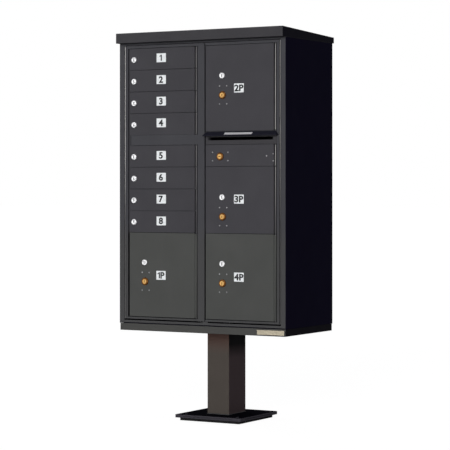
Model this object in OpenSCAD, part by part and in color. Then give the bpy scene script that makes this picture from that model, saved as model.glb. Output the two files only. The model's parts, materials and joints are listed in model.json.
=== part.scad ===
// Free-standing cluster mailbox unit on a pedestal.
// Origin: on the ground, below the middle of the hood. X right, Y back, Z up.

/* [Cabinet] */
// Width across the two side panels
body_w = 774.4; // [770:0.1:774.6]
// Depth from the front face to the rear panel's back
body_d = 398.5; // [380:0.5:401]
// Front face of the body and of all doors
front_y = -191.5; // [-191.5:0.5:-185]
// Height of the plinth's lower edge above the ground
cabinet_z = 363; // [345:1:363]
// Thickness of the sheet-metal panels
sheet_t = 2.5; // [2:0.5:2.5]
// Width of the front frame's jambs
jamb_w = 20; // [18:1:20]
// Depth of the front frame and of the master frames
frame_d = 22; // [20:1:22]

/* [Hood] */
// Width of the hood
hood_w = 775; // [775:1:780]
// Depth of the hood
hood_d = 440; // [430:1:450]
// Height of the hood's front face
hood_front_h = 39; // [36:1:42]
// Height of the hood's back face
hood_back_h = 22; // [20:0.5:28]
// How far the hood's skirt hangs below the roof, in front and behind
hood_skirt = 1.5; // [1:0.5:5]

/* [Doors] */
// Height from one tenant door to the next
door_pitch = 88.4; // [88:0.1:88.4]
// Width of a door's plate, from its free edge to the hinge axis
door_w = 316.5; // [314:0.5:316.5]
// Thickness of a door's plate
door_t = 3.2; // [2.5:0.1:3.5]
// Gap between two doors
door_gap = 2; // [1.6:0.1:2.4]
// Radius of the hinge bead along a door's edge
bead_r = 4.5; // [4:0.1:4.5]
// Radius of the hinge rods
rod_r = 2; // [1.6:0.1:2.2]
// Radial clearance of everything that turns
fit = 0.06; // [0.04:0.01:0.1]

/* [Locks] */
// Radius of a tenant lock's shell flange
shell_flange_r = 11.5; // [10:0.5:12]
// Radius of a tenant lock's plug
plug_r = 6; // [5:0.5:6.5]
// Radius of a control lock's flange
control_flange_r = 15; // [13:0.5:16]
// Radius of a control lock's plug
control_plug_r = 9.5; // [8:0.5:10.5]

/* [Slot] */
// Width of the outgoing-mail slot
slot_w = 295; // [240:1:295]
// Height of the outgoing-mail slot
slot_h = 12; // [9:0.5:12]
// How far the slot hood stands out
slot_hood_d = 20; // [8:1:20]

/* [Pedestal] */
// Width of the post
post_w = 101.6; // [80:0.2:101.6]
// Depth of the post
post_d = 136; // [100:1:136]
// Wall of the post
post_t = 3.2; // [2.5:0.1:5]
// Side of the square base plate
base_w = 304.8; // [290:0.2:320]
// Thickness of the base plate
base_t = 13; // [12:1:16]
// Distance between anchor holes along X and Y
anchor_pitch = 241.3; // [230:0.1:245]
// Radius of the anchor holes
anchor_r = 8; // [6:0.5:9]

/* [Hidden] */
$fn = 64;
half_w = body_w / 2;
back_y = front_y + body_d;
joint = 0.1;
above = 1;

// Heights of the body, from the plinth up
plinth_h = 28.5;
floor_z = cabinet_z + plinth_h;
floor_t = 4;
floor_step = 3;
floor_edge = 12;
floor_clear = 0.5;
floor_low_z = floor_z - floor_step;
plinth_x = half_w - 3;
body_z = floor_z + floor_t;
roof_z = 1533;
roof_t = 3;
hood_z = roof_z + roof_t;
sill_h = 9.5;
head_h = 7;

// Master frames
jamb_x = half_w - sheet_t - jamb_w;
master_gap = 8;
master_x = jamb_x - master_gap;
master_hinge_x = jamb_x - master_gap / 2;
master_knuckle_r = 2.4;
master_leaf_y = 1.2;
master_rod_r = 1;
master_knuckles = 11;
master_z0 = 410.5;
master_z1 = 1524;
stile_w = 10;
rail_h = 8;
top_rail_h = 10.5;
bead_clear = 7.5;
centre_stile_x = 17;
right_master_x = 20.5;
hinge_x_left = -22.5;
hinge_x_right = 339;
land_y = 6;
channel_y = 9;
rail_y = 4.5;
rail_half = 6;
land_w = 16;

// Door heights: edges of the two columns
upper_top = 1512.4;
upper_bottom = upper_top - 4 * door_pitch;
lower_top = 1116.9;
lower_bottom = lower_top - 4 * door_pitch;
doors_z0 = 420.5;
slot_z0 = 1117;
slot_z1 = 1168;
big_door_z0 = 1169.6;
access_z0 = 1029;
access_z1 = 1116;
tenant_edges = concat(
    [for (i = [1:3]) upper_top - i * door_pitch],
    [for (i = [1:4]) lower_top - i * door_pitch]
);
parcel_edges = [access_z0, lower_bottom];

// Doors: [hinge x, bottom z, top z]
parcel_doors = [
    [hinge_x_left, doors_z0, lower_bottom],
    [hinge_x_right, big_door_z0, upper_top],
    [hinge_x_right, lower_bottom, access_z0],
    [hinge_x_right, doors_z0, lower_bottom]
];
// Heights of each parcel door's customer lock
parcel_lock_z = [641.5, 1390.5, 907, 642.5];
bead_y = front_y + 2;
bead_groove = 2.5;
bead_groove_d = 1.6;
lug_h = 5;
lug_back = 1.4;
bead_end = lug_h / 2 + 1;

// Locks: distance from the hinge axis to the lock's axis
tenant_lock_x = -292.3;
tenant_lock_drop = 2;
parcel_lock_x = [-241.5, -238, -238, -238];
access_lock_x = -249;
access_lock_z = 1069.3;
control_drop = 77.3;
lock_proud = 6;
control_proud = 4;
plug_proud = 0.6;
shell_r = 9.5;
shell_l = 20;
control_shell_r = 13.5;
nut_r = 12;
nut_h = 4;
cam_y = front_y + frame_d + 2;
cam_t = 3;
cam_w = 12;
tenant_cam_l = 22;
parcel_cam_l = 50;
access_cam_l = 38;
tab_l = 20;
tab_h = 18;
tab_t = 4;

// Slot
slot_x = 181;
slot_z = 1140;
slot_panel_x0 = 23;
slot_panel_x1 = 346;
slot_hood_z0 = 1150.5;
slot_hood_z1 = 1167.5;
slot_hood_x0 = 18.2;
slot_hood_x1 = 354.5;
slot_hood_taper = 11;
slot_hood_lip = 3;

// Compartments
shelf_t = 2;
shelf_y = front_y + 32;
divider_x = 2;
bottom_shelf_z = 419;

// Latch bars
bar_x = [4, 20.8];
bar_w = 6.5;
bar_t = 3.5;
bar_y = front_y + frame_d + 0.4;
bar_z0 = 407;
bar_z1 = 1108;
strike_z = 401;
strike_t = 3;
strike_d = 9.5;
strike_side = 4;
bar_clear = 1;

// Stop on the sill, where the two master doors meet
catch_x0 = 8;
catch_x1 = 32;
catch_y = 1;
catch_d = 7;

// Name plate
plate_x0 = 258;
plate_x1 = 379;
plate_z0 = 367.5;
plate_z1 = 386;
plate_t = 1.2;

// Pedestal
pad_t = 12;
pad_w = 276;
pedestal_y = 14;
flange_t = 8;
flange_w = 180;
flange_d = 210;
flange_z = floor_low_z - flange_t;
bolt_r = 6;
bolt_x = 72;
bolt_y = 86;
bolt_clear = 0.6;
bolt_head_r = 11;
bolt_head_h = 8;
seam_h = 2.4;
seam_d = 3;
seam_inset = 40;

paint = "#454547";
paint_dark = "#26262c";
steel = "#c8c8c8";
brass = "#c89b55";

// A box given by its lowest and highest corners
module block(low, high) {
    translate(low) cube(high - low);
}

// A block whose Y values count back from the front face
module front_block(low, high) {
    block([low.x, front_y + low.y, low.z], [high.x, front_y + high.y, high.z]);
}

// A cylinder along Y that starts at a distance behind the front face
module front_disc(x, y, z, r, l, fn = 64) {
    translate([x, front_y + y, z]) rotate([-90, 0, 0]) cylinder(r = r, h = l, $fn = fn);
}

// A vertical tube or pin
module upright(x, y, z0, z1, r) {
    translate([x, y, z0]) cylinder(r = r, h = z1 - z0);
}

// ---- Doors and locks ----

// A door's plate with its hinge bead and the bore of the hinge rod
module door_plate(hinge_x, z0, z1) {
    low = z0 + door_gap / 2;
    high = z1 - door_gap / 2;
    plate_x = hinge_x - bead_r - bead_groove;
    difference() {
        union() {
            front_block([hinge_x - door_w + 0.5, 0, low], [plate_x, door_t, high]);
            front_block([plate_x, bead_groove_d, z0 + bead_end], [hinge_x - 2.5, door_t, z1 - bead_end]);
            upright(hinge_x, bead_y, z0 + bead_end, z1 - bead_end, bead_r);
        }
        upright(hinge_x, bead_y, z0 - above, z1 + above, rod_r + fit);
    }
}

// A lock's fixed shell: flange in front, threaded body and nut behind
module lock_shell(x, z, flange_r, body_r, proud, length) {
    front_disc(x, -proud, z, flange_r, proud);
    front_disc(x, 0, z, body_r, length);
    front_disc(x, door_t, z, nut_r + body_r - shell_r, nut_h, 6);
}

// A lock's plug with the cam on its back end; the cam points along turn
module lock_plug(x, z, r, proud, cam_l, turn) {
    front_disc(x, -proud - plug_proud, z, r, cam_y - front_y + proud + plug_proud);
    translate([x, cam_y, z]) rotate([0, turn, 0])
        translate([-cam_w / 2, 0, -cam_w / 2]) cube([cam_w, cam_t, cam_l + cam_w / 2]);
}

function tenant_top(i) = i <= 4 ? upper_top - (i - 1) * door_pitch : lower_top - (i - 5) * door_pitch;
function tenant_lock_z(i) = tenant_top(i) - door_pitch / 2 - tenant_lock_drop;

module tenant_door(i) {
    x = hinge_x_left + tenant_lock_x;
    color(paint) difference() {
        union() {
            door_plate(hinge_x_left, tenant_top(i) - door_pitch, tenant_top(i));
            lock_shell(x, tenant_lock_z(i), shell_flange_r, shell_r, lock_proud, shell_l);
        }
        front_disc(x, -lock_proud - above, tenant_lock_z(i), plug_r + fit, lock_proud + shell_l + 2 * above);
    }
}

module tenant_lock(i) {
    color(steel)
        lock_plug(hinge_x_left + tenant_lock_x, tenant_lock_z(i), plug_r, lock_proud, tenant_cam_l, 0);
}

module parcel_door(i) {
    hinge_x = parcel_doors[i - 1][0];
    x = hinge_x + parcel_lock_x[i - 1];
    z = parcel_lock_z[i - 1];
    color(paint) difference() {
        union() {
            door_plate(hinge_x, parcel_doors[i - 1][1], parcel_doors[i - 1][2]);
            lock_shell(x, z, shell_flange_r, shell_r, lock_proud, shell_l);
            lock_shell(x, z - control_drop, control_flange_r, control_shell_r, control_proud, shell_l);
        }
        front_disc(x, -lock_proud - above, z, plug_r + fit, lock_proud + shell_l + 2 * above);
        front_disc(x, -control_proud - above, z - control_drop, control_plug_r + fit,
                   control_proud + shell_l + 2 * above);
    }
}

module customer_lock(i) {
    x = parcel_doors[i - 1][0] + parcel_lock_x[i - 1];
    color(steel) lock_plug(x, parcel_lock_z[i - 1], plug_r, lock_proud, parcel_cam_l, 0);
}

module control_lock(i) {
    x = parcel_doors[i - 1][0] + parcel_lock_x[i - 1];
    z = parcel_lock_z[i - 1] - control_drop;
    color(brass) lock_plug(x, z, control_plug_r, control_proud, parcel_cam_l, 180);
}

module access_door() {
    x = hinge_x_right + access_lock_x;
    color(paint) difference() {
        union() {
            door_plate(hinge_x_right, access_z0, access_z1);
            lock_shell(x, access_lock_z, control_flange_r, control_shell_r, control_proud, shell_l);
        }
        front_disc(x, -control_proud - above, access_lock_z, control_plug_r + fit,
                   control_proud + shell_l + 2 * above);
    }
}

module access_lock() {
    x = hinge_x_right + access_lock_x;
    color(brass) lock_plug(x, access_lock_z, control_plug_r, control_proud, access_cam_l, 0);
}

// ---- Master door frames ----

// Height of one knuckle of the master hinges
function knuckle_h() = (master_z1 - master_z0) / master_knuckles;

// One master hinge knuckle with its leaf; side is 1 on the right, -1 on the left
module master_knuckle(k, side, leaf_x) {
    z0 = master_z0 + k * knuckle_h() + joint;
    z1 = master_z0 + (k + 1) * knuckle_h() - joint;
    x = side * master_hinge_x;
    difference() {
        union() {
            upright(x, front_y, z0, z1, master_knuckle_r);
            front_block([min(x, leaf_x), master_leaf_y, z0], [max(x, leaf_x), master_knuckle_r, z1]);
        }
        upright(x, front_y, z0 - above, z1 + above, master_rod_r + fit);
    }
}

// A lug that holds the hinge rod between two doors, with its web to the channel
module rod_lug(hinge_x, z0, z1) {
    difference() {
        union() {
            upright(hinge_x, bead_y, z0, z1, bead_r);
            block([hinge_x - 3, bead_y, z0], [hinge_x + 3, front_y + channel_y + joint, z1]);
        }
        upright(hinge_x, bead_y, z0 - above, z1 + above, rod_r);
    }
}

// Rails across the back of the gaps between doors
module back_rails(x0, x1, heights) {
    for (z = heights)
        front_block([x0 + joint, rail_y, z - rail_half], [x1 - joint, frame_d, z + rail_half]);
}

// Tab beside a parcel door's edge, behind which a lock's cam turns
module strike_tab(x, z) {
    front_block([x + joint, frame_d - tab_t, z - tab_h / 2], [x + tab_l, frame_d, z + tab_h / 2]);
}

module left_master_frame() {
    x0 = -master_x + stile_w;
    land_x = hinge_x_left - door_w - 7 + land_w;
    channel_x0 = hinge_x_left - bead_clear;
    channel_x1 = hinge_x_left + bead_clear;
    low = master_z0 + rail_h;
    high = master_z1 - top_rail_h;
    color(paint) {
        front_block([-master_x, 0, master_z0], [x0, frame_d, master_z1]);
        front_block([channel_x1, 0, master_z0], [centre_stile_x, frame_d, master_z1]);
        front_block([x0 + joint, 0, high + joint], [channel_x1 - joint, frame_d, master_z1]);
        front_block([x0 + joint, 0, master_z0], [channel_x1 - joint, frame_d, low - joint]);
        front_block([x0 + joint, land_y, low], [land_x, frame_d, high]);
        front_block([channel_x0, channel_y, low], [channel_x1 - joint, frame_d, high]);
        front_block([land_x + joint, 0, lower_top + 1], [channel_x0 - joint, door_t, upper_bottom + 0.5]);
        front_block([channel_x0, 0, lower_top + lug_back + 0.2],
                    [channel_x1 - joint, door_t, upper_bottom - lug_back - 0.2]);
        back_rails(land_x, channel_x0, concat(tenant_edges, [upper_bottom + 1, lower_top - 1]));
        front_block([land_x + joint, land_y, low], [channel_x0 - joint, frame_d, low + rail_h]);
        front_block([land_x + joint, land_y, high - rail_h], [channel_x0 - joint, frame_d, high]);
        for (z = tenant_edges) rod_lug(hinge_x_left, z - lug_h / 2, z + lug_h / 2);
        rod_lug(hinge_x_left, upper_bottom - lug_back, upper_bottom + lug_h / 2);
        rod_lug(hinge_x_left, lower_top - lug_h / 2, lower_top + lug_back);
        rod_lug(hinge_x_left, upper_top - lug_h / 2, high - joint);
        rod_lug(hinge_x_left, low, doors_z0 + lug_h / 2);
        for (drop = [0, control_drop]) strike_tab(land_x, parcel_lock_z[0] - drop);
        for (k = [1:2:master_knuckles - 2]) master_knuckle(k, -1, -master_x);
    }
}

module right_master_frame() {
    x1 = master_x - stile_w;
    land_x = right_master_x + land_w;
    channel_x0 = hinge_x_right - bead_clear;
    low = master_z0 + rail_h;
    high = master_z1 - top_rail_h;
    color(paint) {
        front_block([x1, 0, master_z0], [master_x, frame_d, master_z1]);
        front_block([right_master_x, 0, high + joint], [x1 - joint, frame_d, master_z1]);
        front_block([right_master_x, 0, master_z0], [x1 - joint, frame_d, low - joint]);
        front_block([right_master_x, land_y, low], [land_x, frame_d, high]);
        front_block([channel_x0, channel_y, low], [x1 - joint, frame_d, high]);
        back_rails(land_x, channel_x0, concat(parcel_edges, [big_door_z0 + 1, access_z1]));
        front_block([land_x + joint, land_y, low], [channel_x0 - joint, frame_d, low + rail_h]);
        front_block([land_x + joint, land_y, high - rail_h], [channel_x0 - joint, frame_d, high]);
        for (i = [2:4], drop = [0, control_drop]) strike_tab(land_x, parcel_lock_z[i - 1] - drop);
        strike_tab(land_x, access_lock_z);
        for (z = parcel_edges) rod_lug(hinge_x_right, z - lug_h / 2, z + lug_h / 2);
        rod_lug(hinge_x_right, slot_z1 + 0.2, big_door_z0 + lug_h / 2);
        rod_lug(hinge_x_right, access_z1 - lug_h / 2, slot_z0 - 0.2);
        rod_lug(hinge_x_right, upper_top - lug_h / 2, high - joint);
        rod_lug(hinge_x_right, low, doors_z0 + lug_h / 2);
        for (k = [1:2:master_knuckles - 2]) master_knuckle(k, 1, master_x);
    }
}

module left_hinge_rods() {
    color(steel) {
        upright(hinge_x_left, bead_y, upper_bottom - lug_back, upper_top + 0.5, rod_r);
        upright(hinge_x_left, bead_y, doors_z0 - 2, lower_top + lug_back, rod_r);
    }
}

module right_hinge_rods() {
    color(steel) {
        upright(hinge_x_right, bead_y, slot_z1 + 0.4, upper_top + 0.5, rod_r);
        upright(hinge_x_right, bead_y, doors_z0 - 2, slot_z0 - 0.4, rod_r);
    }
}

// Plate of the outgoing-mail slot
module slot_panel() {
    color(paint) difference() {
        front_block([slot_panel_x0, 0, slot_z0], [slot_panel_x1, door_t, slot_z1]);
        front_block([slot_x - slot_w / 2, -above, slot_z - slot_h / 2],
                    [slot_x + slot_w / 2, door_t + above, slot_z + slot_h / 2]);
    }
}

// Sloped hood over the slot: a wedge with a lip, its ends drawn in towards the top
module slot_hood() {
    color(paint_dark) intersection() {
        translate([slot_hood_x0, front_y, 0]) rotate([90, 0, 90])
            linear_extrude(slot_hood_x1 - slot_hood_x0)
                polygon([
                    [0, slot_hood_z0], [-slot_hood_d, slot_hood_z0],
                    [-slot_hood_d, slot_hood_z0 + slot_hood_lip], [-2, slot_hood_z1], [0, slot_hood_z1]
                ]);
        translate([0, front_y + above, 0]) rotate([90, 0, 0]) linear_extrude(slot_hood_d + 2 * above)
            polygon([
                [slot_hood_x0, slot_hood_z0], [slot_hood_x1, slot_hood_z0],
                [slot_hood_x1, slot_hood_z0 + slot_hood_lip],
                [slot_hood_x1 - slot_hood_taper, slot_hood_z1],
                [slot_hood_x0 + slot_hood_taper, slot_hood_z1],
                [slot_hood_x0, slot_hood_z0 + slot_hood_lip]
            ]);
    }
}

// ---- Master latches ----

// A latch bar behind a stile; it drops into its strike to lock
module latch_bar(x) {
    color(steel) block([x, bar_y, bar_z0], [x + bar_w, bar_y + bar_t, bar_z1]);
}

module left_latch_bar() {
    latch_bar(bar_x[0]);
}

module right_latch_bar() {
    latch_bar(bar_x[1]);
}

module latch_strikes() {
    color(steel) for (x = bar_x) difference() {
        block([x - strike_side, front_y + frame_d, strike_z],
              [x + bar_w + strike_side, front_y + frame_d + strike_d, strike_z + strike_t]);
        block([x - bar_clear, front_y + frame_d - joint, strike_z - above],
              [x + bar_w + bar_clear, bar_y + bar_t + bar_clear, strike_z + strike_t + above]);
    }
}

// ---- Cabinet ----

module side_panel(side) {
    inner = half_w - sheet_t;
    color(paint_dark) block([min(side * inner, side * half_w), front_y, floor_z + joint],
                            [max(side * inner, side * half_w), back_y, roof_z]);
}

module left_side_panel() {
    side_panel(-1);
}

module right_side_panel() {
    side_panel(1);
}

module front_frame() {
    inner = half_w - sheet_t;
    color(paint) {
        for (side = [-1, 1]) {
            front_block([min(side * jamb_x, side * inner), 0, body_z],
                        [max(side * jamb_x, side * inner), frame_d, roof_z]);
            for (k = [0:2:master_knuckles - 1]) master_knuckle(k, side, side * jamb_x);
        }
        front_block([-jamb_x + joint, 0, body_z], [jamb_x - joint, frame_d, body_z + sill_h]);
        front_block([catch_x0, catch_y, body_z + sill_h], [catch_x1, catch_y + catch_d, master_z0 - 0.7]);
        front_block([-jamb_x + joint, 0, roof_z - head_h], [jamb_x - joint, frame_d, roof_z]);
    }
}

module rear_panel() {
    inner = half_w - sheet_t;
    color(paint) block([-inner, back_y - sheet_t, body_z], [inner, back_y, roof_z]);
}

module roof_panel() {
    color(paint) block([-half_w, front_y, roof_z], [half_w, back_y, roof_z + roof_t]);
}

// Floor with a step: its lower half fits inside the plinth
module floor_panel() {
    x = plinth_x - sheet_t - floor_clear;
    y = sheet_t + floor_clear;
    color(paint) difference() {
        union() {
            block([-half_w + floor_edge, front_y + floor_edge, floor_z],
                  [half_w - floor_edge, back_y - floor_edge, body_z]);
            block([-x, front_y + y, floor_low_z], [x, back_y - y, floor_z]);
        }
        bolt_holes(floor_low_z, body_z);
    }
}

// Sloped cap on the roof panel, open below, with a skirt in front of the body and behind it
module hood() {
    t = 2;
    top_front = hood_z + hood_front_h;
    top_back = hood_z + hood_back_h;
    low = hood_z - hood_skirt;
    y0 = -hood_d / 2;
    y1 = hood_d / 2;
    front_end = front_y - joint;
    back_end = back_y + joint;
    color(paint) difference() {
        translate([-hood_w / 2, 0, 0]) rotate([90, 0, 90]) linear_extrude(hood_w)
            polygon([
                [y0, low], [front_end, low], [front_end, hood_z], [back_end, hood_z],
                [back_end, low], [y1, low], [y1, top_back], [y0, top_front]
            ]);
        translate([-hood_w / 2 + t, 0, 0]) rotate([90, 0, 90]) linear_extrude(hood_w - 2 * t)
            polygon([[y0 + t, hood_z + t], [y1 - t, hood_z + t], [y1 - t, top_back - t], [y0 + t, top_front - t]]);
        block([-half_w + 12, front_y + 12, hood_z - above], [half_w - 12, back_y - 12, hood_z + t + above]);
        block([-hood_w / 2 + t, y0 + t, low - above], [hood_w / 2 - t, front_y + above, hood_z]);
        block([-hood_w / 2 + t, back_y - above, low - above], [hood_w / 2 - t, y1 - t, hood_z]);
    }
}

module plinth() {
    x = plinth_x;
    color(paint) {
        block([-x, front_y, cabinet_z], [x, front_y + sheet_t, floor_z]);
        block([-x, back_y - sheet_t, cabinet_z], [x, back_y, floor_z]);
        for (side = [-1, 1])
            block([min(side * (x - sheet_t), side * x), front_y + sheet_t + joint, cabinet_z],
                  [max(side * (x - sheet_t), side * x), back_y - sheet_t - joint, floor_z]);
    }
}

module name_plate() {
    color("#b0a895") block([plate_x0, front_y - plate_t, plate_z0], [plate_x1, front_y, plate_z1]);
}

module centre_divider() {
    color(paint) block([divider_x, shelf_y, body_z], [divider_x + shelf_t, back_y - sheet_t, roof_z]);
}

// Flat shelves between a side panel and the divider
module shelves(x0, x1, heights) {
    color(paint) for (z = heights)
        block([x0, shelf_y, z - shelf_t / 2], [x1, back_y - sheet_t, z + shelf_t / 2]);
}

module tenant_shelves() {
    shelves(-half_w + sheet_t, divider_x,
            concat(tenant_edges, [upper_bottom, lower_top, bottom_shelf_z]));
}

module parcel_shelves() {
    shelves(divider_x + shelf_t, half_w - sheet_t,
            [big_door_z0, access_z0, lower_bottom, bottom_shelf_z]);
}

module master_hinge_rods() {
    color(steel) for (side = [-1, 1])
        upright(side * master_hinge_x, front_y, master_z0 + joint, master_z1 - joint, master_rod_r);
}

// ---- Pedestal ----

// Clearance holes of the four flange bolts
module bolt_holes(z0, z1) {
    for (x = [-bolt_x, bolt_x], y = [-bolt_y, bolt_y])
        upright(x, pedestal_y + y, z0 - above, z1 + above, bolt_r + bolt_clear);
}

// Clearance holes of the four ground anchors
module anchor_holes(z0, z1) {
    for (x = [-anchor_pitch / 2, anchor_pitch / 2], y = [-anchor_pitch / 2, anchor_pitch / 2])
        upright(x, pedestal_y + y, z0 - above, z1 + above, anchor_r);
}

module post_flange() {
    color(paint) difference() {
        block([-flange_w / 2, pedestal_y - flange_d / 2, flange_z],
              [flange_w / 2, pedestal_y + flange_d / 2, floor_low_z]);
        bolt_holes(flange_z, floor_low_z);
    }
}

module flange_bolts() {
    color(steel) for (x = [-bolt_x, bolt_x], y = [-bolt_y, bolt_y]) translate([x, pedestal_y + y, 0]) {
        translate([0, 0, flange_z - bolt_head_h]) cylinder(r = bolt_head_r, h = bolt_head_h, $fn = 6);
        translate([0, 0, flange_z]) cylinder(r = bolt_r, h = body_z + bolt_head_h + 4 - flange_z);
        translate([0, 0, body_z]) cylinder(r = bolt_head_r, h = bolt_head_h, $fn = 6);
    }
}

module post() {
    z0 = pad_t + base_t;
    color(paint) difference() {
        block([-post_w / 2, pedestal_y - post_d / 2, z0], [post_w / 2, pedestal_y + post_d / 2, flange_z]);
        block([-post_w / 2 + post_t, pedestal_y - post_d / 2 + post_t, z0 - above],
              [post_w / 2 - post_t, pedestal_y + post_d / 2 - post_t, flange_z + above]);
    }
}

module base_plate() {
    half = base_w / 2;
    seam = half - seam_inset;
    z0 = pad_t + (base_t - seam_h) / 2;
    color(paint_dark) difference() {
        block([-half, pedestal_y - half, pad_t], [half, pedestal_y + half, pad_t + base_t]);
        anchor_holes(pad_t, pad_t + base_t);
        for (turn = [0:90:270]) translate([0, pedestal_y, 0]) rotate([0, 0, turn])
            block([half - seam_d, -seam, z0], [half + above, seam, z0 + seam_h]);
    }
}

module base_pad() {
    color("#0c0c0c") difference() {
        block([-pad_w / 2, pedestal_y - pad_w / 2, 0], [pad_w / 2, pedestal_y + pad_w / 2, pad_t]);
        anchor_holes(0, pad_t);
    }
}

for (i = [1:8]) {
    tenant_door(i);
    tenant_lock(i);
}
for (i = [1:4]) {
    parcel_door(i);
    customer_lock(i);
    control_lock(i);
}
access_door();
access_lock();
left_master_frame();
right_master_frame();
left_hinge_rods();
right_hinge_rods();
slot_panel();
slot_hood();
left_latch_bar();
right_latch_bar();
latch_strikes();
front_frame();
left_side_panel();
right_side_panel();
rear_panel();
roof_panel();
floor_panel();
hood();
plinth();
name_plate();
centre_divider();
tenant_shelves();
parcel_shelves();
master_hinge_rods();
post_flange();
flange_bolts();
post();
base_plate();
base_pad();
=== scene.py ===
import json
import math

import bmesh
import bpy
from mathutils import Matrix, Vector


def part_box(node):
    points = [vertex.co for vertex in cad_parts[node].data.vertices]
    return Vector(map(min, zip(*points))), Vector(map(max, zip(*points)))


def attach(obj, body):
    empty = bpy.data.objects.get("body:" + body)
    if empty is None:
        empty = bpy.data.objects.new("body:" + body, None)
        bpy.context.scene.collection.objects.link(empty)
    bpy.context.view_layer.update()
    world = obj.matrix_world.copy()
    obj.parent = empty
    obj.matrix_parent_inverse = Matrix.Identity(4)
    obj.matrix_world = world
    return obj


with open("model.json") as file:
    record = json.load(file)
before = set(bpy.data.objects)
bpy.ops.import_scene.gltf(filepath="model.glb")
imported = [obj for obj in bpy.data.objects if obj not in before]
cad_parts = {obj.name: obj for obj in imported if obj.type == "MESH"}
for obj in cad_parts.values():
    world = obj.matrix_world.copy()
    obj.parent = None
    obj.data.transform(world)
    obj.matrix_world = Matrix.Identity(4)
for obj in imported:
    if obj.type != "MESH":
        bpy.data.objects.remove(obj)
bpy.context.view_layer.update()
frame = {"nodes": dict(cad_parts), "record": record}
NODES = frame["nodes"]
MM = 0.001
# The Y of the doors' and frames' front faces
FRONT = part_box("slot_panel")[0].y
TENANTS = range(1, 9)
PARCELS = range(1, 5)


# ---------------------------------------------------------------- materials

def srgb(red, green, blue):
    """Linear colour from 0-255 display values."""
    def linear(value):
        value /= 255
        return value / 12.92 if value <= 0.04045 else ((value + 0.055) / 1.055) ** 2.4
    return (linear(red), linear(green), linear(blue), 1.0)


def shade(colour, factor):
    """The colour, lighter or darker by a factor."""
    return tuple(min(1.0, c * factor) for c in colour[:3]) + (1.0,)


class Shader:
    """A Principled material with short helpers for its procedural inputs."""

    def __init__(self, name, metallic=0.0, specular=0.5, ior=1.5):
        self.material = bpy.data.materials.new(name)
        self.material.use_nodes = True
        self.tree = self.material.node_tree
        self.bsdf = self.tree.nodes["Principled BSDF"]
        self.bsdf.inputs["Metallic"].default_value = metallic
        self.bsdf.inputs["Specular IOR Level"].default_value = specular
        self.bsdf.inputs["IOR"].default_value = ior
        texture = self.tree.nodes.new("ShaderNodeTexCoord")
        self.coords = texture.outputs["Object"]
        self.face_normal = texture.outputs["Normal"]

    def link(self, source, target):
        self.tree.links.new(source, target)

    def mapping(self, scale):
        node = self.tree.nodes.new("ShaderNodeMapping")
        node.inputs["Scale"].default_value = scale
        self.link(self.coords, node.inputs["Vector"])
        return node.outputs["Vector"]

    def noise(self, scale, detail=3.0, roughness=0.5, stretch=(1, 1, 1)):
        node = self.tree.nodes.new("ShaderNodeTexNoise")
        node.inputs["Scale"].default_value = scale
        node.inputs["Detail"].default_value = detail
        node.inputs["Roughness"].default_value = roughness
        self.link(self.mapping(stretch), node.inputs["Vector"])
        return node.outputs["Fac"]

    def span(self, value, low, high, from_low=0.3, from_high=0.7):
        node = self.tree.nodes.new("ShaderNodeMapRange")
        node.inputs["From Min"].default_value = from_low
        node.inputs["From Max"].default_value = from_high
        node.inputs["To Min"].default_value = low
        node.inputs["To Max"].default_value = high
        self.link(value, node.inputs["Value"])
        return node.outputs["Result"]

    def mix(self, factor, first, second):
        node = self.tree.nodes.new("ShaderNodeMix")
        node.data_type = "RGBA"
        self.link(factor, node.inputs[0])
        for socket, value in ((node.inputs[6], first), (node.inputs[7], second)):
            if hasattr(value, "is_output"):
                self.link(value, socket)
            else:
                socket.default_value = value
        return node.outputs[2]

    def axis(self, letter):
        """The point's X, Y or Z in the frame, in metres."""
        node = self.tree.nodes.new("ShaderNodeSeparateXYZ")
        self.link(self.coords, node.inputs["Vector"])
        return node.outputs[letter]

    def rightward(self):
        """How far the face looks to the right: -1 is left, 1 is right."""
        split = self.tree.nodes.new("ShaderNodeSeparateXYZ")
        self.link(self.face_normal, split.inputs["Vector"])
        return split.outputs["X"]

    def upward(self):
        """How far the face looks up: 1 is level and facing up."""
        split = self.tree.nodes.new("ShaderNodeSeparateXYZ")
        self.link(self.face_normal, split.inputs["Vector"])
        return split.outputs["Z"]

    def sideways(self):
        """How far the face looks left or right, 0 to 1."""
        node = self.tree.nodes.new("ShaderNodeMath")
        node.operation = "ABSOLUTE"
        self.link(self.rightward(), node.inputs[0])
        return node.outputs[0]

    def times(self, first, second):
        node = self.tree.nodes.new("ShaderNodeMath")
        node.operation = "MULTIPLY"
        self.link(first, node.inputs[0])
        self.link(second, node.inputs[1])
        return node.outputs[0]

    def bump(self, height, distance, strength, under=None):
        node = self.tree.nodes.new("ShaderNodeBump")
        node.inputs["Distance"].default_value = distance
        node.inputs["Strength"].default_value = strength
        self.link(height, node.inputs["Height"])
        if under:
            self.link(under, node.inputs["Normal"])
        return node.outputs["Normal"]

    def finish(self, colour, roughness, normal):
        self.link(colour, self.bsdf.inputs["Base Color"])
        self.link(roughness, self.bsdf.inputs["Roughness"])
        self.link(normal, self.bsdf.inputs["Normal"])
        return self.material


# Beyond this X lie only the master doors' outer hinge beads; below this Z, the lower parcel doors
OUTER_X = 0.35
LOWER_Z = 0.755


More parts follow.
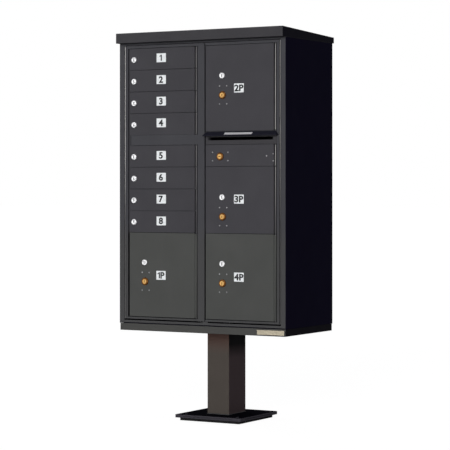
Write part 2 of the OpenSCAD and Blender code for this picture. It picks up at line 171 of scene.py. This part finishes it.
def powder_coat(name, colour, rough_low, rough_high, specular=0.1, bead_highlights=None, low=None, flank_shade=None,
                top_shade=None, level=None, ior=1.5):
    """Satin powder coat: orange peel, faint mottling, streaks, and dust low down.

    The three bead colours are painted highlights for the left outer hinge beads, the door beads and the right
    outer ones: painted highlight on their right, fading lower down, and painted shade on their left, where
    they stand in front of the doors; the same option paints near-black shade into the recesses behind the
    doors' edges, full on the lower doors and faint above, and into the gaps beside the outer hinge beads. The
    low colour is painted light, a lighter coat on the lower third of the cabinet; the flank colour is painted
    shade on faces that look sideways; the top colour is a painted warm shade and reflection that grows
    towards the upper end of a pedestal, with a painted near-black shadow on the pedestal's sideways faces
    there; and the level colour is a painted dark reflection on faces that look up.
    """
    s = Shader(name, specular=specular, ior=ior)
    mottle = s.span(s.noise(9, 4), 0, 1)
    grain = s.span(s.noise(900, 2), 0, 1)
    body = s.mix(mottle, shade(colour, 0.94), shade(colour, 1.05))
    body = s.mix(s.span(grain, 0, 0.14, 0, 1), body, shade(colour, 1.4))
    streak = s.span(s.noise(3.5, 5, 0.6, (9, 9, 0.6)), 0, 0.16, 0.55, 0.8)
    body = s.mix(streak, body, shade(colour, 1.25))
    if low:
        # Painted light: the lower third of the cabinet turns to the lighter low colour.
        body = s.mix(s.span(s.axis("Z"), 0.8, 0, 0.72, 0.8), body, low)
    if bead_highlights:
        # Painted shade: near-black in the recesses behind the doors' edges, full below LOWER_Z and faint
        # above it.
        recessed = s.span(s.axis("Y"), 0, 1, FRONT + 1.0 * MM, FRONT + 2.2 * MM)
        gap_shade = s.span(s.axis("Z"), 1.0, 0.3, LOWER_Z, LOWER_Z + 0.02)
        body = s.mix(s.times(recessed, gap_shade), body, srgb(6, 6, 8))
        # Painted shade: near-black in the gaps beside the outer hinge beads, behind the front faces.
        leaf = s.span(s.axis("Y"), 0, 1, FRONT + 0.6 * MM, FRONT + 1.0 * MM)
        seam = s.span(s.axis("X"), 0, 0.95, OUTER_X, OUTER_X + 0.002)
        body = s.mix(s.times(leaf, seam), body, srgb(6, 6, 8))
        # Painted highlight: the bead colours on the right of whatever stands proud of the doors, fading lower
        # down.
        raised = s.span(s.axis("Y"), 0, 1, FRONT - 0.5 * MM, FRONT - 1.2 * MM)
        highlight_fade = s.span(s.axis("Z"), 0.2, 1.0, 0.82, 1.08)
        painted_highlight = s.mix(s.span(s.axis("X"), 0, 1, -OUTER_X - 0.005, -OUTER_X), bead_highlights[0], bead_highlights[1])
        painted_highlight = s.mix(s.span(s.axis("X"), 0, 1, OUTER_X, OUTER_X + 0.005), painted_highlight, bead_highlights[2])
        lit = s.span(s.rightward(), 0, 1, 0.2, 0.4)
        body = s.mix(s.times(raised, s.times(highlight_fade, lit)), body, painted_highlight)
        # Painted shade: the left sides of those raised parts turn near-black.
        lee = s.span(s.rightward(), 1, 0, 0.1, 0.4)
        body = s.mix(s.times(raised, lee), body, shade(colour, 0.1))
    if flank_shade:
        # Painted shade: faces that look sideways take the darker flank colour.
        body = s.mix(s.span(s.sideways(), 0, 1, 0.7, 0.9), body, flank_shade)
    if top_shade:
        # Painted shade and reflection from the cabinet above: a warm tint towards the pedestal's upper end,
        # and a painted near-black shadow on its sideways faces there.
        front = s.mix(s.span(s.axis("Z"), 0, 0.9, 0.27, 0.35), body, top_shade)
        flat = s.span(s.sideways(), 0, 1, 0.7, 0.9)
        side_shadow = s.mix(s.span(s.axis("Z"), 0, 1, 0.255, 0.31), body, srgb(5, 3, 4))
        body = s.mix(flat, front, side_shadow)
    if level:
        # Painted dark reflection on faces that look up.
        body = s.mix(s.span(s.upward(), 0, 1, 0.7, 0.9), body, level)
    dust = s.span(s.axis("Z"), 0.03, 0.0, 0.02, 0.2)
    body = s.mix(dust, body, srgb(84, 78, 72))
    roughness = s.span(s.noise(14, 5), rough_low, rough_high)
    peel = s.bump(s.noise(420, 2), 0.0002, 0.22)
    return s.finish(body, roughness, s.bump(grain, 0.00005, 0.12, peel))


def metal(name, colour, rough_low, rough_high, stretch=(1, 1, 1), tarnish=None, cam=None):
    """Plated or cast metal: fine brushing along the stretch, tarnish in patches.

    cam is the plainer plating of a lock's cam, behind its door.
    """
    s = Shader(name, metallic=1.0)
    brush = s.noise(260, 4, 0.6, stretch)
    body = s.mix(s.span(brush, 0, 1), shade(colour, 0.86), shade(colour, 1.08))
    body = s.mix(s.span(s.noise(120, 4), 0, 0.45, 0.5, 0.78), body, tarnish or shade(colour, 0.55))
    if cam:
        body = s.mix(s.span(s.axis("Y"), 0, 1, FRONT + 4 * MM, FRONT + 6 * MM), body, cam)
    roughness = s.span(s.noise(160, 3), rough_low, rough_high)
    return s.finish(body, roughness, s.bump(brush, 0.0001, 0.15))


def moulded(name, colour, rough_low, rough_high, grain=700):
    """Rubber, vinyl or ink: fine grain and slight colour variation."""
    s = Shader(name, specular=0.35)
    speckle = s.span(s.noise(grain, 3), 0, 1)
    body = s.mix(speckle, shade(colour, 0.9), shade(colour, 1.08))
    roughness = s.span(s.noise(60, 3), rough_low, rough_high)
    return s.finish(body, roughness, s.bump(speckle, 0.00008, 0.2))


# Painted shade for the cabinet's faces that look sideways.
FLANK_SHADE = srgb(10, 8, 20)
# Painted light: the lighter coat for the cabinet's lower third.
LOWER_LIGHT_COAT = srgb(71, 71, 71)
PAINT = powder_coat("cabinet_powder_coat", srgb(62, 61, 64), 0.5, 0.58, low=LOWER_LIGHT_COAT, flank_shade=FLANK_SHADE)
# Painted shade: near-black on the plinth's faces that look sideways.
PLINTH_PAINT = powder_coat("plinth_powder_coat", srgb(73, 73, 71), 0.5, 0.58, flank_shade=srgb(4, 2, 10))
# These three coats carry painted highlights and painted shade on their beads and in their recesses.
FRAME_PAINT = powder_coat("frame_powder_coat", srgb(67, 67, 71), 0.5, 0.58,
                          bead_highlights=(srgb(215, 213, 210), srgb(88, 86, 87), srgb(166, 164, 162)), low=LOWER_LIGHT_COAT)
TENANT_PAINT = powder_coat("tenant_powder_coat", srgb(65, 64, 68), 0.5, 0.58,
                           bead_highlights=(srgb(128, 126, 126),) * 3)
PARCEL_PAINT = powder_coat("parcel_powder_coat", srgb(66, 65, 69), 0.5, 0.58,
                           bead_highlights=(srgb(174, 172, 168),) * 3)
# Painted light: a lighter copy of the door paint, for the two lower parcel doors.
LOWER_LIT_PAINT = powder_coat("lower_door_lit_powder_coat", srgb(75, 76, 74), 0.46, 0.6)
# Painted shade: a near-black copy of the paint, for the side panels, the floor panel and the dark paint slot.
SHADED_SIDE_PAINT = powder_coat("side_shade_powder_coat", srgb(12, 9, 28), 0.6, 0.66, 0.04)
COWL_PAINT = powder_coat("cowl_powder_coat", srgb(30, 30, 40), 0.55, 0.68, 0.08)
# Painted shade on the post's flanks, with painted warm shade and reflection near its top.
POST_PAINT = powder_coat("post_powder_coat", srgb(74, 68, 63), 0.5, 0.62, flank_shade=srgb(67, 56, 58),
                         top_shade=srgb(92, 67, 59))
# Painted dark reflection on the base plate's upward faces.
BASE_PAINT = powder_coat("base_powder_coat", srgb(64, 62, 68), 0.7, 0.8, 0.02, level=srgb(9, 9, 19),
                         ior=1.08)
RUBBER = moulded("pad_rubber", srgb(6, 6, 6), 0.8, 0.9)
PLATE = metal("name_plate_metal", srgb(166, 158, 140), 0.5, 0.62, (0.04, 1, 1))
ZINC = metal("zinc_steel", srgb(158, 158, 160), 0.45, 0.6)
CHROME = metal("lock_chrome", srgb(224, 224, 225), 0.5, 0.6, (1, 1, 1), srgb(202, 202, 204),
               srgb(118, 118, 122))
BRASS = metal("lock_brass", srgb(185, 147, 90), 0.46, 0.56, (1, 1, 1), srgb(176, 124, 62),
              srgb(128, 112, 84))
BRONZE = metal("lock_bronze", srgb(116, 76, 40), 0.45, 0.58)
VINYL = moulded("decal_vinyl", srgb(244, 248, 250), 0.45, 0.55, 300)
LABEL = moulded("label_vinyl", srgb(204, 203, 206), 0.5, 0.6, 240)
INK = moulded("decal_ink", srgb(22, 24, 26), 0.5, 0.6)
# Painted shade: the near-black floor of each keyway.
KEYWAY_SHADE = moulded("keyway_painted_shade", srgb(8, 8, 8), 0.8, 0.9)

SLOT_MATERIALS = {
    "cabinet_paint": PAINT, "dark_paint": SHADED_SIDE_PAINT, "base_paint": BASE_PAINT, "pad_rubber": RUBBER,
    "plate_aluminium": PLATE, "zinc_steel": ZINC, "lock_chrome": CHROME, "lock_brass": BRASS,
}


def node_material(node, slot):
    """A node's finish: its slot's, unless it takes another copy of the same paint with its own painted
    highlights, painted shade and painted light, or a coat of its own.
    """
    if node in ("front_frame", "left_master_frame", "right_master_frame"):
        return FRAME_PAINT
    if node.startswith("tenant_door"):
        return TENANT_PAINT
    # Painted light: the two lower parcel doors take the lighter copy.
    if node in ("parcel_door_1", "parcel_door_4"):
        return LOWER_LIT_PAINT
    if node.startswith("parcel_door") or node == "access_door":
        return PARCEL_PAINT
    # Painted shade: the side panels and the floor panel take the near-black copy.
    if node in ("left_side_panel", "right_side_panel", "floor_panel"):
        return SHADED_SIDE_PAINT
    if node in ("post", "post_flange"):
        return POST_PAINT
    if node == "slot_hood":
        return COWL_PAINT
    if node == "plinth":
        return PLINTH_PAINT
    return SLOT_MATERIALS[slot]


# ------------------------------------------------------------- CAD surfaces

def soften(node, width, segments=2):
    """Rounds a CAD node's sharp edges and smooths its round walls, as modifiers only."""
    thing = NODES[node]
    weld = thing.modifiers.new("weld", "WELD")
    weld.merge_threshold = 0.00002
    flat = thing.modifiers.new("flat", "DECIMATE")
    flat.decimate_type = "DISSOLVE"
    flat.angle_limit = math.radians(1)
    bevel = thing.modifiers.new("edge", "BEVEL")
    bevel.width = width
    bevel.segments = segments
    bevel.limit_method = "ANGLE"
    bevel.angle_limit = math.radians(35)
    bevel.use_clamp_overlap = True
    bevel.harden_normals = True


def dress_cad():
    """Each CAD node gets its slot's material and its edge rounding."""
    edge = {"hood": 2.0, "base_plate": 1.2, "post": 2.5, "base_pad": 1.0, "name_plate": 0.4, "slot_hood": 0.8,
            "latch_strikes": 0.04, "left_latch_bar": 0.3, "right_latch_bar": 0.3}
    for entry in frame["record"]["subparts"]:
        node = entry["node"]
        material = node_material(node, entry["material_slot"])
        mesh = NODES[node].data
        mesh.materials.clear()
        mesh.materials.append(material)
        soften(node, edge.get(node, 0.6) * MM)


# ------------------------------------------------------------ mesh builders

def link_mesh(name, mesh, material):
    thing = bpy.data.objects.new(name, mesh)
    bpy.context.scene.collection.objects.link(thing)
    mesh.materials.clear()
    mesh.materials.append(material)
    return thing


def facing_front(mesh, place):
    """Turns a mesh built in the XY plane so that its +Z looks out of the front, and moves it to place."""
    mesh.transform(Matrix.Translation(place) @ Matrix.Rotation(math.pi / 2, 4, "X"))


def lathe(name, profile, place, material, segments=48):
    """A solid turned about the front-facing axis through place; profile is (radius, height out) pairs."""
    bm = bmesh.new()
    rings = []
    for radius, out in profile:
        if radius == 0:
            rings.append([bm.verts.new((0, 0, out))])
        else:
            turn = [2 * math.pi * k / segments for k in range(segments)]
            rings.append([bm.verts.new((radius * math.cos(a), radius * math.sin(a), out)) for a in turn])
    closed = profile[0][0] != 0
    pairs = list(zip(rings, rings[1:])) + ([(rings[-1], rings[0])] if closed else [])
    for first, second in pairs:
        for k in range(segments):
            n = (k + 1) % segments
            if len(first) == 1:
                bm.faces.new((first[0], second[k], second[n]))
            elif len(second) == 1:
                bm.faces.new((first[k], second[0], first[n]))
            else:
                bm.faces.new((first[k], second[k], second[n], first[n]))
    bmesh.ops.recalc_face_normals(bm, faces=bm.faces)
    mesh = bpy.data.meshes.new(name)
    bm.to_mesh(mesh)
    bm.free()
    for face in mesh.polygons:
        face.use_smooth = True
    facing_front(mesh, place)
    thing = link_mesh(name, mesh, material)
    mesh.set_sharp_from_angle(angle=math.radians(40))
    return thing


def arc(cx, cy, radius, start, end, steps):
    """Points on an arc, angles in degrees."""
    angles = [math.radians(start + (end - start) * k / steps) for k in range(steps + 1)]
    return [(cx + radius * math.cos(a), cy + radius * math.sin(a)) for a in angles]


def round_rectangle(width, height, radius, steps=5):
    x, y = width / 2 - radius, height / 2 - radius
    return (arc(x, y, radius, 0, 90, steps) + arc(-x, y, radius, 90, 180, steps)
            + arc(-x, -y, radius, 180, 270, steps) + arc(x, -y, radius, 270, 360, steps))


def outline(name, loops, thickness, bevel, place, material):
    """A flat plate with the loops' outline and holes, its edges bevelled, facing the front at place."""
    curve = bpy.data.curves.new(name, "CURVE")
    curve.dimensions = "2D"
    curve.fill_mode = "BOTH"
    curve.extrude = thickness / 2 - bevel
    curve.bevel_depth = bevel
    curve.bevel_resolution = 1
    curve.offset = -bevel
    for points in loops:
        spline = curve.splines.new("POLY")
        spline.points.add(len(points) - 1)
        for point, (x, y) in zip(spline.points, points):
            point.co = (x, y, 0, 1)
        spline.use_cyclic_u = True
    source = bpy.data.objects.new(name, curve)
    bpy.context.scene.collection.objects.link(source)
    mesh = bpy.data.meshes.new_from_object(source)
    bpy.data.objects.remove(source)
    mesh.transform(Matrix.Translation((0, 0, thickness / 2)))
    facing_front(mesh, place)
    return link_mesh(name, mesh, material)


def numeral_one(name, place, material):
    """A figure one with its flag, facing the front, in the same weight as the lettering."""
    x = [DIGIT_H * k for k in (-0.24, -0.03, 0.2)]
    z = [DIGIT_H * k for k in (-0.5, 0.12, 0.28, 0.32, 0.5)]
    points = [(x[1], z[0]), (x[2], z[0]), (x[2], z[4]), (x[1] + DIGIT_H * 0.06, z[4]), (x[0], z[3]),
              (x[0], z[1]), (x[1], z[2])]
    return outline(name, [points], 0.2 * MM, 0.02 * MM, place, material)


def lettering(name, text, stretch, place, material):
    """Raised characters centred at place, facing the front, widened by stretch."""
    font = bpy.data.curves.new(name, "FONT")
    font.body = text
    font.size = DIGIT_H / 0.7
    font.align_x = "CENTER"
    font.align_y = "CENTER"
    font.extrude = 0.1 * MM
    font.offset = 1.3 * MM
    source = bpy.data.objects.new(name, font)
    bpy.context.scene.collection.objects.link(source)
    mesh = bpy.data.meshes.new_from_object(source)
    bpy.data.objects.remove(source)
    lows = [min(v.co[k] for v in mesh.vertices) for k in (0, 1)]
    highs = [max(v.co[k] for v in mesh.vertices) for k in (0, 1)]
    middle = Vector(((lows[0] + highs[0]) / 2, (lows[1] + highs[1]) / 2, 0))
    mesh.transform(Matrix.Diagonal((stretch, 1, 1, 1)) @ Matrix.Translation(-middle))
    facing_front(mesh, place)
    return link_mesh(name, mesh, material)


def keep(piece, body):
    """The piece rides on a body."""
    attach(piece, body)


# -------------------------------------------------------------------- locks

SMALL_PLUG_R = 6 * MM
BIG_PLUG_R = 9.5 * MM


def lock_place(node, radius, cam_up=True):
    """The front middle of a lock's plug: its cam points up or down from the axis."""
    low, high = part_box(node)
    z = low.z + radius if cam_up else high.z - radius
    return Vector(((low.x + high.x) / 2, low.y, z))


def keyed_face(name, place, radius, slot_w, slot_h, material, sideways=False):
    """A plug's face with a real key slot, and a near-black floor behind the slot, painted shade for the
    keyway's depth.
    """
    rim = arc(0, 0, radius, 0, 360 * 47 / 48, 47)
    size = (slot_h, slot_w) if sideways else (slot_w, slot_h)
    slot = round_rectangle(size[0], size[1], slot_w * 0.3, 3)[::-1]
    face = outline(name, [rim, slot], 1.6 * MM, 0.25 * MM, place, material)
    floor = outline(name + ".keyway", [round_rectangle(size[0] + MM, size[1] + MM, slot_w * 0.3)],
                    0.3 * MM, 0.05 * MM, place + Vector((0, -0.02 * MM, 0)), KEYWAY_SHADE)
    floor.parent = face
    return face


def small_lock(name, node, door_body):
    """Chrome bezel on the door and the keyed face on the plug."""
    place = lock_place(node, SMALL_PLUG_R)
    profile = [(6.3, -0.6), (6.3, 0.5), (6.9, 0.9), (10.2, 0.7), (11.6, 0.1), (12.1, -0.8),
               (12.2, -6.4), (11.7, -6.4), (11.6, -0.7)]
    ring = lathe(name + ".bezel", [(r * MM, h * MM) for r, h in profile], place, CHROME)
    keep(ring, door_body)
    face = keyed_face(name + ".face", place, 5.9 * MM, 3.0 * MM, 9.4 * MM, CHROME)
    keep(face, node)


def big_lock(name, node, door_body, cam_up, sideways):
    """Bronze bezel on the door and the keyed brass face on the plug."""
    place = lock_place(node, BIG_PLUG_R, cam_up)
    profile = [(9.8, -0.6), (9.8, 0.3), (10.6, 0.7), (13.2, 0.4), (15.0, -0.8), (15.7, -2.2), (15.8, -4.5),
               (15.2, -4.5), (15.1, -0.7)]
    ring = lathe(name + ".bezel", [(r * MM, h * MM) for r, h in profile], place, BRONZE)
    keep(ring, door_body)
    face = keyed_face(name + ".face", place, 9.4 * MM, 2.4 * MM, 10.5 * MM, BRASS, sideways)
    keep(face, node)


def rivet(name, x, z, front, body, radius=3.2 * MM):
    """A domed blind rivet with its hollow centre."""
    profile = [(radius, 0), (radius * 1.0, 0.25), (radius * 0.86, 0.8), (radius * 0.5, 1.25),
               (radius * 0.36, 1.3), (radius * 0.3, 0.7), (0, 0.7)]
    points = [(r, h * MM) if k else (r, 0) for k, (r, h) in enumerate(profile)]
    piece = lathe(name, [(0, 0)] + points, Vector((x, front, z)), ZINC, 20)
    keep(piece, body)


# ------------------------------------------------------------------- decals

DECAL_W = 44.5 * MM
DECAL_H = 36 * MM
DIGIT_H = 24.6 * MM
ALONE_SHIFT = 1.6 * MM
ONE_SHIFT = 9.5 * MM
LETTER_SHIFT = 7 * MM


def decal(name, text, x, z, front, body):
    """A white vinyl number decal with dark characters."""
    plate = outline(name + ".decal", [round_rectangle(DECAL_W, DECAL_H, 2 * MM)],
                    0.4 * MM, 0.08 * MM, Vector((x, front, z)), VINYL)
    keep(plate, body)
    alone = len(text) == 1
    face = Vector((x - (ALONE_SHIFT if alone else 0), front - 0.42 * MM, z))
    if text[0] == "1":
        keep(numeral_one(name + ".one", face - Vector((0 if alone else ONE_SHIFT, 0, 0)), INK), body)
        if not alone:
            keep(lettering(name + ".letter", text[1], 1.1, face + Vector((LETTER_SHIFT, 0, 0)), INK), body)
    else:
        keep(lettering(name + ".digit", text, 1.1 if alone else 1.14, face, INK), body)


# -------------------------------------------------------------------- doors

DECAL_FROM_EDGE = 152 * MM
TENANT_DECAL_RISE = 3.3 * MM
# How far each parcel door's decal sits below its customer lock
PARCEL_DECAL_DROP = {1: 51 * MM, 2: 50.8 * MM, 3: 7 * MM, 4: 51 * MM}
# Small sideways and upward shifts of single decals
PARCEL_DECAL_SHIFT = {1: -1.2 * MM, 2: 0.7 * MM, 3: 0.7 * MM, 4: 0.7 * MM}
TENANT_DECAL_NUDGE = {3: 1.0 * MM, 4: 1.7 * MM}
RIVET_SIDE = 16.5 * MM
RIVET_SHIFT = 2.4 * MM
RIVET_DROPS = (41 * MM, 112.7 * MM)
# Around the access door's lock, then along its hinge side: millimetres from the lock's axis
ACCESS_RIVETS = [(-35.4, -16.7), (-35.4, 16.7), (35.4, -16.7), (35.4, 16.7),
                 (210.6, 0.7), (240, 8.7), (240, -19.3)]


def tenant_door(i):
    node = f"tenant_door_{i}"
    low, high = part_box(node)
    small_lock(f"tenant_{i}", f"tenant_lock_{i}", node)
    height = (low.z + high.z) / 2 + TENANT_DECAL_RISE + TENANT_DECAL_NUDGE.get(i, 0)
    decal(f"tenant_{i}", str(i), low.x + DECAL_FROM_EDGE, height, FRONT, node)


def parcel_door(i):
    node = f"parcel_door_{i}"
    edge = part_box(node)[0].x
    small_lock(f"parcel_{i}.customer", f"customer_lock_{i}", node)
    big_lock(f"parcel_{i}.control", f"control_lock_{i}", node, False, False)
    lock = lock_place(f"customer_lock_{i}", SMALL_PLUG_R)
    decal(f"parcel_{i}", f"{i}P", edge + DECAL_FROM_EDGE + PARCEL_DECAL_SHIFT[i],
          lock.z - PARCEL_DECAL_DROP[i], FRONT, node)
    for row, drop in enumerate(RIVET_DROPS):
        for column, side in enumerate((-RIVET_SIDE, RIVET_SIDE)):
            rivet(f"parcel_{i}.rivet_{row}{column}", lock.x + RIVET_SHIFT + side, lock.z - drop,
                  FRONT, node)


def access_door():
    node = "access_door"
    big_lock("access", "access_lock", node, True, True)
    lock = lock_place("access_lock", BIG_PLUG_R)
    for k, (dx, dz) in enumerate(ACCESS_RIVETS):
        rivet(f"access.rivet_{k}", lock.x + dx * MM, lock.z + dz * MM, FRONT, node)


# ------------------------------------------------------------ other details

LABEL_W = 125 * MM
LABEL_H = 13 * MM
LABEL_X = 179.5 * MM
# How far up the hood's slope the label's middle sits
LABEL_UP = 0.42


def slot_label():
    """The blank white strip on the slot hood's slope."""
    low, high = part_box("slot_hood")
    lip = 3 * MM
    flat = 2 * MM
    run = high.y - flat - low.y
    rise = high.z - low.z - lip
    slope = math.atan2(run, rise)
    plate = outline("slot_label", [round_rectangle(LABEL_W, LABEL_H, MM)], 0.5 * MM, 0.1 * MM,
                    Vector((0, 0, 0)), LABEL)
    middle = Vector((LABEL_X, low.y + run * LABEL_UP, low.z + lip + rise * LABEL_UP))
    plate.data.transform(Matrix.Translation(middle) @ Matrix.Rotation(-slope, 4, "X"))
    keep(plate, "right_master_door")


def weld_bead():
    """The weld around the post's foot: a rippled fillet."""
    low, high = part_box("post")
    radius = 3.2 * MM
    corner = 2.5 * MM
    middle = Vector(((low.x + high.x) / 2, (low.y + high.y) / 2, low.z))
    path = round_rectangle(high.x - low.x, high.y - low.y, corner, 6)
    dense = []
    for (x0, y0), (x1, y1) in zip(path, path[1:] + path[:1]):
        steps = max(1, int(math.hypot(x1 - x0, y1 - y0) / (1.2 * MM)))
        dense += [(x0 + (x1 - x0) * k / steps, y0 + (y1 - y0) * k / steps) for k in range(steps)]
    bm = bmesh.new()
    rings = []
    for k, (x, y) in enumerate(dense):
        ahead, behind = Vector(dense[(k + 1) % len(dense)]), Vector(dense[k - 1])
        along = (ahead - behind).normalized()
        out = Vector((along.y, -along.x))
        swell = radius * (1 + 0.12 * math.sin(k * 2.1))
        section = [(-0.4 * radius, 0), (swell, 0), (swell * 0.62, swell * 0.62), (0, swell),
                   (-0.4 * radius, swell)]
        rings.append([bm.verts.new(middle + Vector((x + out.x * a, y + out.y * a, b))) for a, b in section])
    for k, ring in enumerate(rings):
        after = rings[(k + 1) % len(rings)]
        for n in range(len(ring)):
            m = (n + 1) % len(ring)
            bm.faces.new((ring[n], ring[m], after[m], after[n]))
    bmesh.ops.recalc_face_normals(bm, faces=bm.faces)
    mesh = bpy.data.meshes.new("post_weld")
    bm.to_mesh(mesh)
    bm.free()
    for face in mesh.polygons:
        face.use_smooth = True
    keep(link_mesh("post_weld", mesh, PAINT), "cabinet")


# -------------------------------------------------------- light and camera

def sun_light(name, toward, power, angle):
    data = bpy.data.lights.new(name, "SUN")
    data.energy = power
    data.angle = math.radians(angle)
    thing = bpy.data.objects.new(name, data)
    bpy.context.scene.collection.objects.link(thing)
    thing.rotation_euler = Vector(toward).to_track_quat("-Z", "Y").to_euler()
    return thing


def studio():
    """Pale floor, soft light from the front right, a pale surround."""
    bpy.ops.mesh.primitive_plane_add(size=160)
    floor = bpy.context.object
    floor.name = "studio_floor"
    s = Shader("floor_paper", specular=0.0)
    tone = s.mix(s.span(s.noise(2, 3), 0, 1), (0.14, 0.14, 0.14, 1), (0.15, 0.15, 0.15, 1))
    s.bsdf.inputs["Emission Color"].default_value = (1, 1, 1, 1)
    s.bsdf.inputs["Emission Strength"].default_value = 0.955
    paper = s.finish(tone, s.span(s.noise(6), 0.8, 0.9), s.bump(s.noise(300), 0.0001, 0.1))
    floor.data.materials.append(paper)
    floor.visible_diffuse = False
    floor.visible_glossy = False

    world = bpy.data.worlds.new("studio")
    bpy.context.scene.world = world
    world.use_nodes = True
    tree = world.node_tree
    surround = tree.nodes["Background"]
    surround.inputs["Color"].default_value = (0.95, 0.95, 1, 1)
    surround.inputs["Strength"].default_value = 0.18
    backdrop = tree.nodes.new("ShaderNodeBackground")
    backdrop.inputs["Color"].default_value = (1, 1, 1, 1)
    ray = tree.nodes.new("ShaderNodeLightPath")
    mix = tree.nodes.new("ShaderNodeMixShader")
    tree.links.new(ray.outputs["Is Camera Ray"], mix.inputs[0])
    tree.links.new(surround.outputs[0], mix.inputs[1])
    tree.links.new(backdrop.outputs[0], mix.inputs[2])
    tree.links.new(mix.outputs[0], tree.nodes["World Output"].inputs["Surface"])

    sun_light("key", (-0.34, 0.93, -0.15), 2.75, 40)
    gleam = sun_light("gleam", (0.5, 0.86, -0.03), 1.25, 40)
    gleam.visible_diffuse = False
    sun_light("back", (0.85, -0.5, -0.12), 1.2, 30)
    bpy.context.scene.view_settings.view_transform = "Standard"


def camera():
    """Eye-level camera to the right of the front, level, with a small downward shift."""
    data = bpy.data.cameras.new("view")
    data.sensor_width = 36
    data.lens = 152.85
    data.shift_y = -0.0789
    data.clip_end = 200
    thing = bpy.data.objects.new("view", data)
    bpy.context.scene.collection.objects.link(thing)
    thing.location = (3.929, -6.747, 0.938)
    thing.rotation_euler = (math.radians(90), 0, math.radians(30.21))
    bpy.context.scene.camera = thing


dress_cad()
for number in TENANTS:
    tenant_door(number)
for number in PARCELS:
    parcel_door(number)
access_door()
slot_label()
weld_bead()
studio()
camera()
